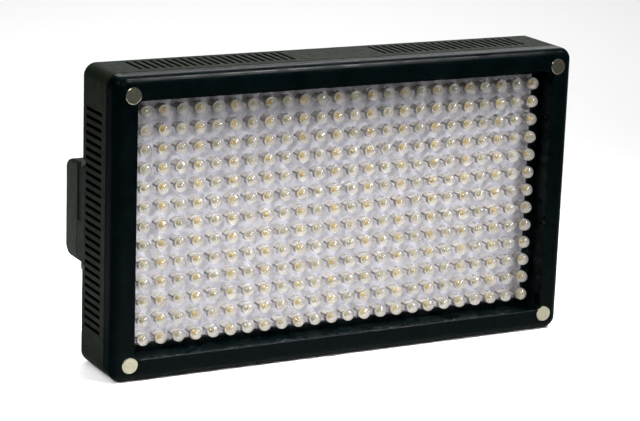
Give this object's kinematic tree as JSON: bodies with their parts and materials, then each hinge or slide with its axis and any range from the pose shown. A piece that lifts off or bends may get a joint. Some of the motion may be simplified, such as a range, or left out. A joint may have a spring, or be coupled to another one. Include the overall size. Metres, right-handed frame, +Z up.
{
  "type": "led panel light",
  "caption": "Wide, shallow camera light: a field of round cool and warm lamps in a glossy frame, a vented matte shell behind, a slide-on battery pack and rear controls.",
  "frame": {"origin": "centre of the mouth of the tripod socket, in the underside of the housing", "axes": "+X to the right as seen from in front of the lamps, +Y from the lamps to the back, +Z up, away from the tripod"},
  "size_m": [0.203, 0.0497, 0.12],
  "materials": {
    "gloss_black": "gloss black moulding",
    "shell_black": "finely textured matte black moulding",
    "magnet": "nickel-plated, satin",
    "board_white": "white solder mask",
    "led_cool": "clear epoxy over a pale yellow phosphor",
    "led_warm": "clear epoxy over an orange phosphor",
    "zinc_screw": "zinc plated",
    "black_screw": "black oxide",
    "brass_insert": "turned brass",
    "board_green": "green solder mask",
    "parts_dark": "moulded component bodies",
    "connector": "black nylon",
    "wire_red": "insulated wire",
    "pot_metal": "stamped and plated case",
    "shaft_metal": "turned",
    "knob_black": "satin black",
    "switch_black": "satin black",
    "rocker_black": "semi-gloss black",
    "nickel": "nickel plated",
    "plunger": "natural nylon",
    "button_red": "semi-gloss red",
    "led_green": "tinted epoxy",
    "smoke_window": "smoked clear plastic",
    "plate_black": "matte black",
    "gold_contact": "gold-flashed brass",
    "spring_steel": "spring wire",
    "pack_grey": "matte charcoal",
    "cell_wrap": "film-wrapped cylindrical cells"
  },
  "bodies": {
    "housing": {"front_frame": "gloss_black", "corner_magnets": "magnet", "led_board": "board_white", "cool_leds": "led_cool", "warm_leds": "led_warm", "board_screws": "zinc_screw", "rear_shell": "shell_black", "case_screws": "black_screw", "tripod_insert": "brass_insert", "control_board": "board_green", "control_screws": "zinc_screw", "driver_parts": "parts_dark", "board_link": "connector", "wiring": "wire_red", "brightness_pot": "pot_metal", "colour_pot": "pot_metal", "pot_washers": "zinc_screw", "pot_nuts": "zinc_screw", "switch_body": "switch_black", "dc_socket": "switch_black", "dc_pin": "nickel", "dc_nut": "zinc_screw", "test_switch": "connector", "level_leds": "led_green", "level_window": "smoke_window", "battery_plate": "plate_black", "plate_screws": "zinc_screw", "terminal_block": "connector", "terminal_blades": "gold_contact", "latch_bracket": "connector", "latch_spring": "spring_steel"},
    "battery": {"battery_base": "pack_grey", "battery_cover": "pack_grey", "battery_cells": "cell_wrap", "battery_board": "board_green", "battery_contacts": "gold_contact"},
    "brightness_dial": {"brightness_knob": "knob_black", "brightness_shaft": "shaft_metal"},
    "colour_dial": {"colour_knob": "knob_black", "colour_shaft": "shaft_metal"},
    "rocker": {"power_rocker": "rocker_black"},
    "test_key": {"test_button": "button_red", "test_plunger": "plunger"},
    "latch": {"latch": "button_red"}
  },
  "joints": [
    {"name": "battery_slide", "type": "slide", "parent": "housing", "child": "battery", "axis": [-1, 0, 0], "range_m": [0, 0.078]},
    {"name": "brightness_turn", "type": "hinge", "parent": "housing", "child": "brightness_dial", "pos_m": [0.08, 0, 0.084], "axis": [0, 1, 0], "range_deg": [-140, 140]},
    {"name": "colour_turn", "type": "hinge", "parent": "housing", "child": "colour_dial", "pos_m": [0.048, 0, 0.084], "axis": [0, 1, 0], "range_deg": [-140, 140]},
    {"name": "power_rock", "type": "hinge", "parent": "housing", "child": "rocker", "pos_m": [0.08, 0.0111, 0.038], "axis": [0, 0, 1], "range_deg": [0, 18]},
    {"name": "test_press", "type": "slide", "parent": "housing", "child": "test_key", "axis": [0, -1, 0], "range_m": [0, 0.0008], "stiffness_N_per_m": 1500, "springref_m": -0.0003},
    {"name": "latch_press", "type": "slide", "parent": "housing", "child": "latch", "axis": [0, -1, 0], "range_m": [0, 0.0024], "stiffness_N_per_m": 600, "springref_m": -0.002, "deforming": ["latch_spring"]}
  ]
}
